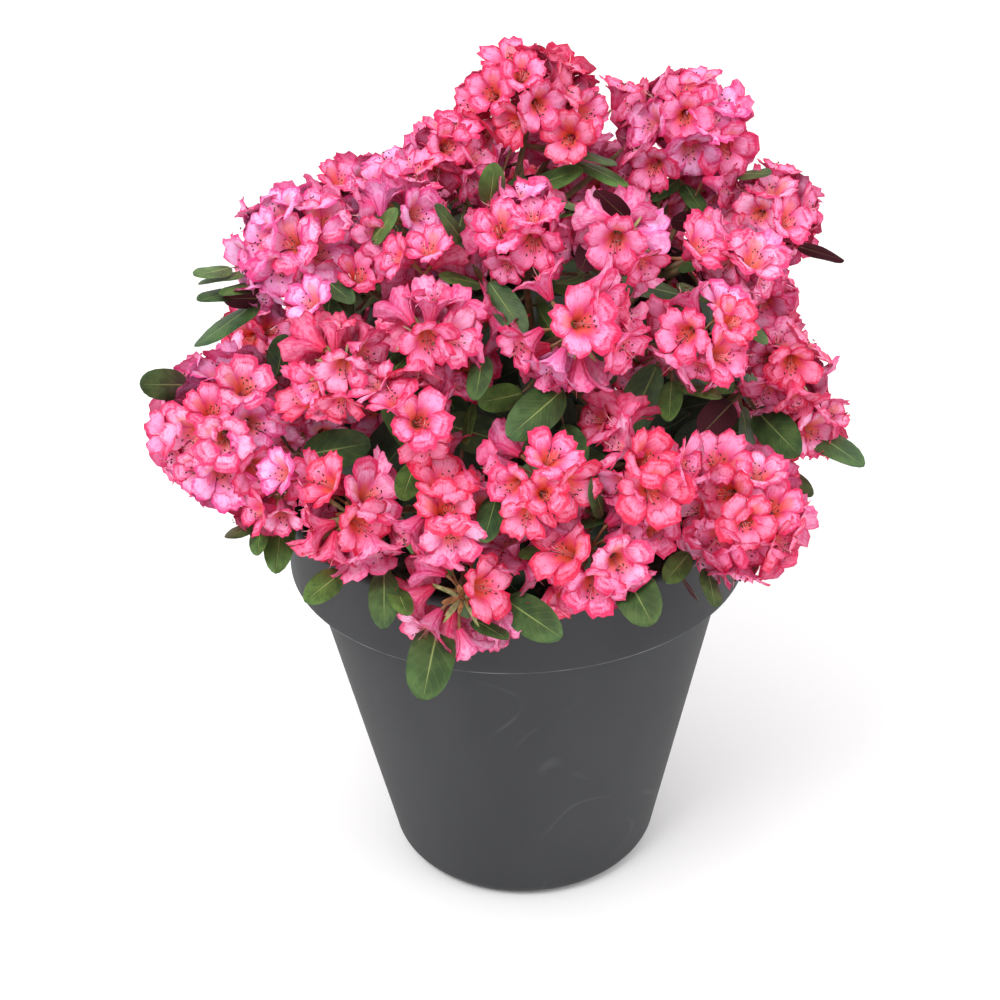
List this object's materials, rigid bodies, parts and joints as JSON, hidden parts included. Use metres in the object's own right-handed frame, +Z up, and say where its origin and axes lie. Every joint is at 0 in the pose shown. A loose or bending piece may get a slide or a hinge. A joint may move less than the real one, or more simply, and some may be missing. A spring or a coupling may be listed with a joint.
{
  "type": "potted rhododendron shrub",
  "caption": "Evergreen rhododendron (azalea) shrub in full bloom: domed heads of funnel flowers over dark leaves, on a short stem in a round tapering planter with a deep rim band.",
  "frame": {"origin": "middle of the planter's flat underside, at ground level", "axes": "+Z up along the planter's axis; -Y towards the front of the shrub; +X to its right"},
  "size_m": [0.5631, 0.5856, 0.742],
  "materials": {
    "planter": "matte anthracite moulded plastic",
    "compost": "moist bark compost, granular and matt",
    "bark": "fissured brown bark",
    "foliage": "flowers and leaves fused on twigs",
    "blossom": "thin pink petals with darker margins",
    "leaf": "leathery dark green, slightly glossy above, brown felt below",
    "young_bark": "smooth green-brown shoots"
  },
  "bodies": {
    "root": {"pot": "planter", "compost": "compost", "stem": "bark", "bough_crown_top": "bark", "bough_shoulder_left": "bark", "bough_centre": "bark", "bough_centre_right": "bark", "bough_shoulder_right": "bark", "bough_upper_left": "bark", "bough_side_left": "bark", "bough_side_right": "bark", "bough_front_right": "bark", "bough_front": "bark", "bough_front_left": "bark", "bough_rear_left": "bark", "bough_rear_middle_left": "bark", "bough_rear_middle_right": "bark", "bough_rear_right": "bark", "bough_rear_top": "bark", "bough_rear_side": "bark", "mass_crown_top": "foliage", "mass_shoulder_left": "foliage", "mass_centre": "foliage", "mass_centre_right": "foliage", "mass_shoulder_right": "foliage", "mass_upper_left": "foliage", "mass_side_left": "foliage", "mass_side_right": "foliage", "mass_front_right": "foliage", "mass_front": "foliage", "mass_front_left": "foliage", "mass_rear_left": "foliage", "mass_rear_middle_left": "foliage", "mass_rear_middle_right": "foliage", "mass_rear_right": "foliage", "mass_rear_top": "foliage", "mass_rear_side": "foliage"}
  },
  "joints": []
}
